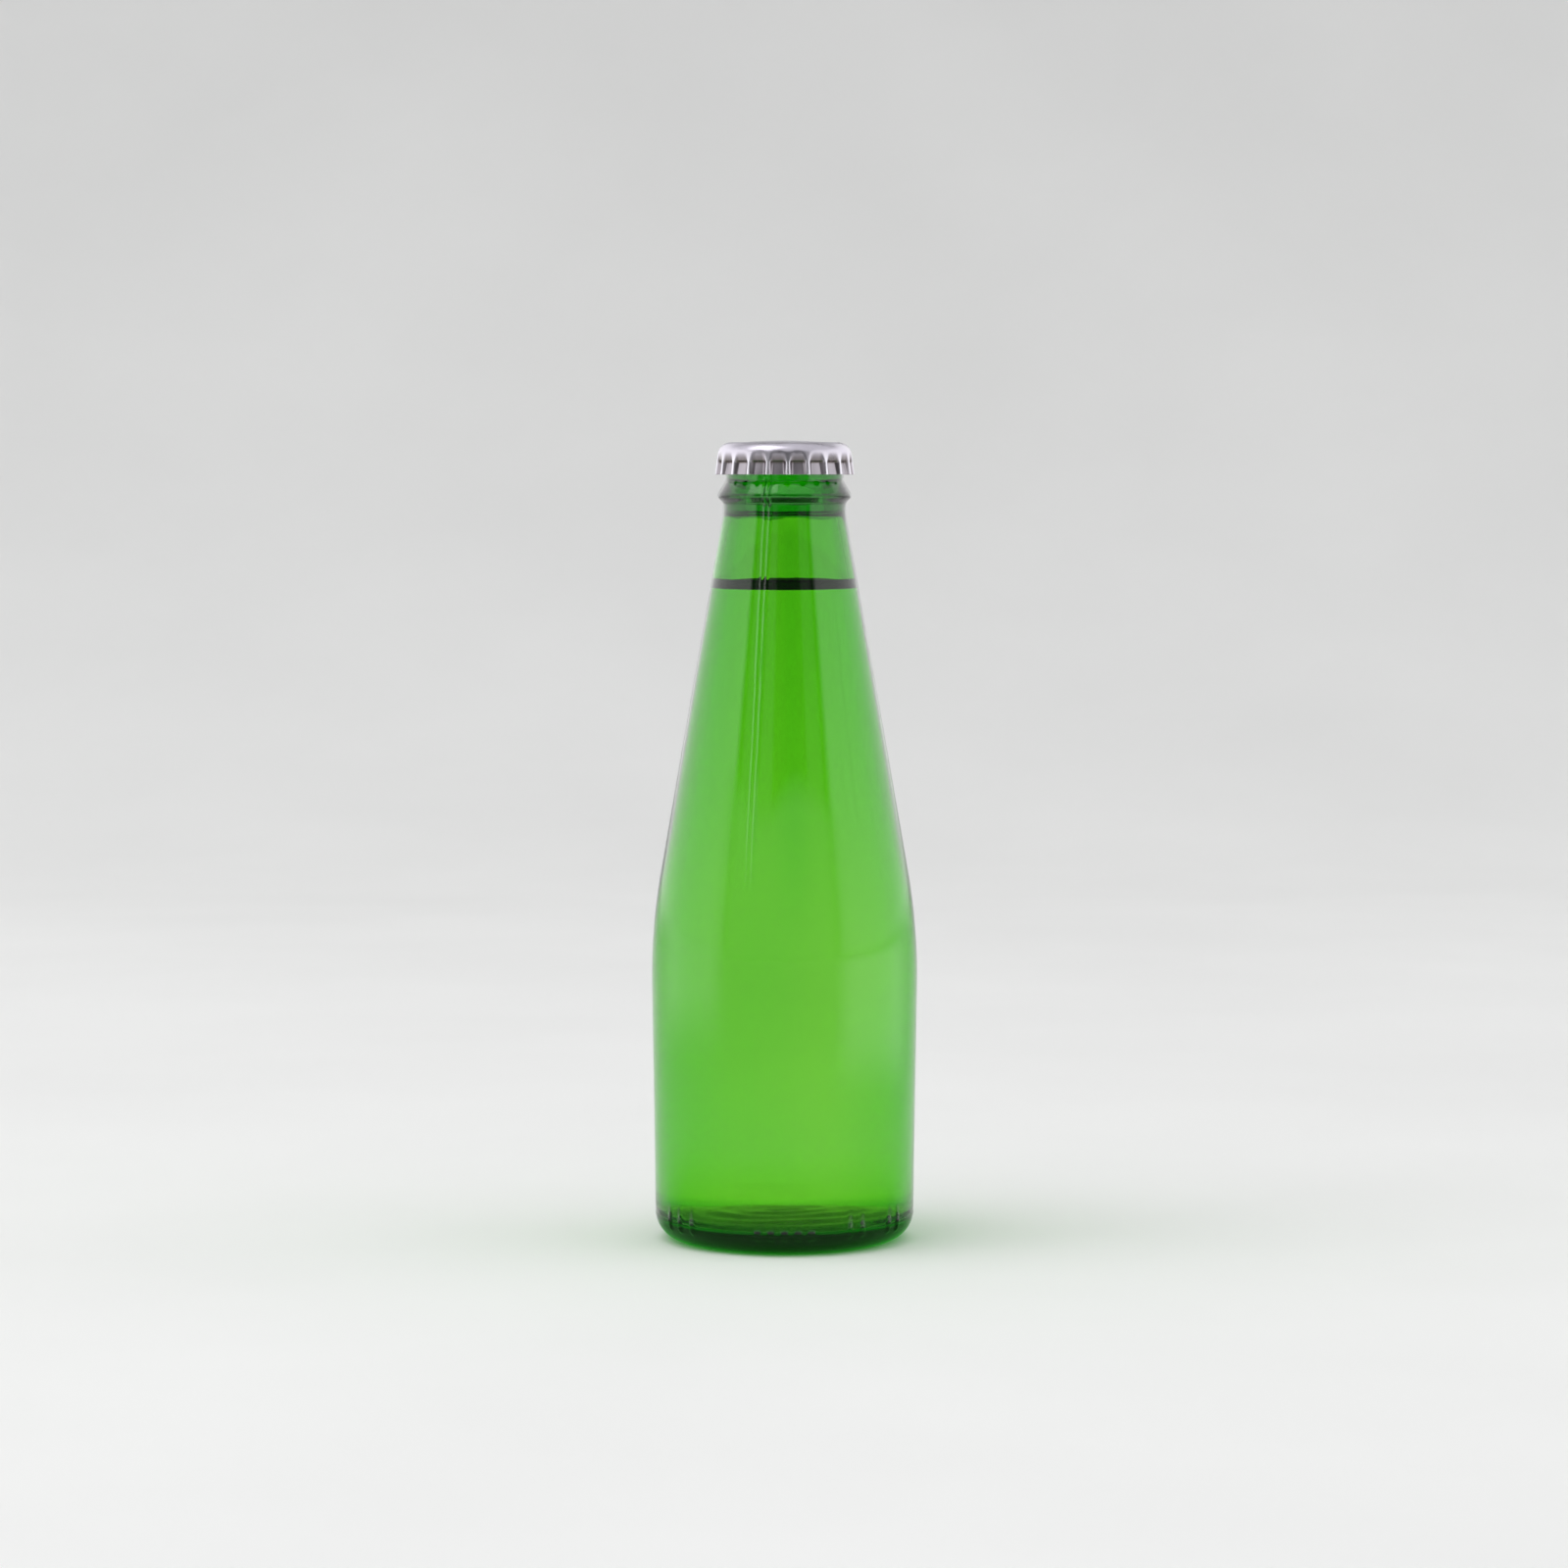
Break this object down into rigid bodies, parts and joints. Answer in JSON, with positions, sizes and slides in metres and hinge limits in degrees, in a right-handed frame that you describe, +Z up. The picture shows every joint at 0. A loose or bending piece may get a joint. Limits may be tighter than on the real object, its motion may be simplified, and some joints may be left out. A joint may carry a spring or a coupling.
{
  "type": "bottle of soda water",
  "caption": "Small green glass bottle with a long conical neck, filled with soda water and closed with a crimped crown cap.",
  "frame": {"origin": "centre of the ring that the bottle stands on", "axes": "+Z up along the bottle's axis; -Y is the front, where the row of dots on the heel is"},
  "size_m": [0.0548, 0.0548, 0.1646],
  "materials": {
    "green_glass": "clear, glossy, moulded",
    "soda_water": "clear still liquid",
    "tinplate": "satin tinplate"
  },
  "bodies": {
    "root": {"glass_bottle": "green_glass", "soda_water": "soda_water", "crown_cap": "tinplate"}
  },
  "joints": []
}
